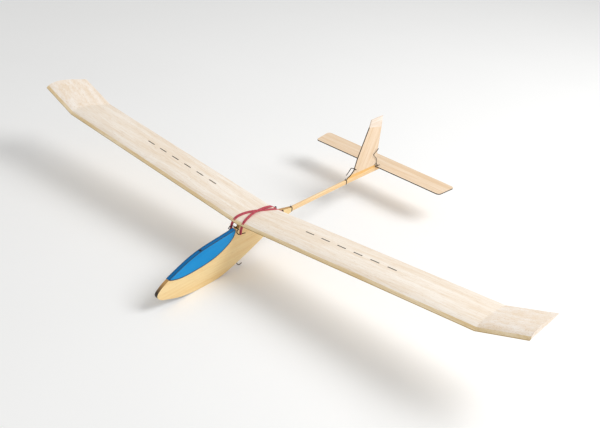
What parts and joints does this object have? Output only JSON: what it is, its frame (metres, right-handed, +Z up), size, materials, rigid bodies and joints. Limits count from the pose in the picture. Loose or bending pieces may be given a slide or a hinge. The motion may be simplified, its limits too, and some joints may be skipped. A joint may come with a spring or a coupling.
{
  "type": "balsa hand glider",
  "caption": "Free-flight glider of balsa: long polyhedral wing held by crossed rubber bands on a flat pod with a blue canopy, slim boom, fin and a tailplane that tips up.",
  "frame": {"origin": "centre of the underside of the glider's whole box, level with the lowest point of the pod's belly", "axes": "+X to the glider's left wing tip, +Y to the tail, +Z up, with the tail boom level"},
  "size_m": [1.002, 0.6046, 0.1715],
  "materials": {
    "balsa": "raw sanded",
    "hard_balsa": "raw sanded",
    "pod_plywood": "clear varnish",
    "boom_pine": "clear varnish",
    "tail_balsa": "raw sanded",
    "hidden_plywood": "raw sanded",
    "peg_wood": "stained",
    "spring_steel": "dark drawn wire",
    "blue_film": "satin adhesive film",
    "red_rubber": "stretched rubber",
    "dark_thread": "wound and glued thread",
    "lead": "cast"
  },
  "bodies": {
    "airframe": {"pod_core": "pod_plywood", "pod_cheek_left": "pod_plywood", "pod_cheek_right": "pod_plywood", "canopy_film": "blue_film", "nose_ballast": "lead", "tow_hook": "spring_steel", "front_wing_hook": "spring_steel", "rear_wing_hook": "spring_steel", "tail_front_hook": "spring_steel", "wing_seat": "hidden_plywood", "tailplane_seat": "hidden_plywood", "wing_brace": "hidden_plywood", "wing_panel_left": "balsa", "wing_panel_right": "balsa", "wing_tip_left": "balsa", "wing_tip_right": "balsa", "leading_edge_left": "hard_balsa", "leading_edge_right": "hard_balsa", "leading_edge_tip_left": "hard_balsa", "leading_edge_tip_right": "hard_balsa", "tail_boom": "boom_pine", "boom_binding_front": "dark_thread", "boom_binding_rear": "dark_thread", "fin": "tail_balsa", "fin_tip": "tail_balsa", "wing_band_lower": "red_rubber", "wing_band_upper": "red_rubber"},
    "tailplane": {"tailplane": "tail_balsa", "tail_pivot_wire": "spring_steel", "tail_hook_left": "spring_steel", "tail_hook_right": "spring_steel"},
    "ballast_plug": {"ballast_plug": "peg_wood"}
  },
  "joints": [
    {"name": "tailplane_tilt", "type": "hinge", "parent": "airframe", "child": "tailplane", "pos_m": [0, 0.24995, 0.06872], "axis": [1, 0, 0], "range_deg": [0, 40]},
    {"name": "ballast_plug_pull", "type": "slide", "parent": "airframe", "child": "ballast_plug", "axis": [0, 0, 1], "range_m": [0, 0.016]}
  ]
}
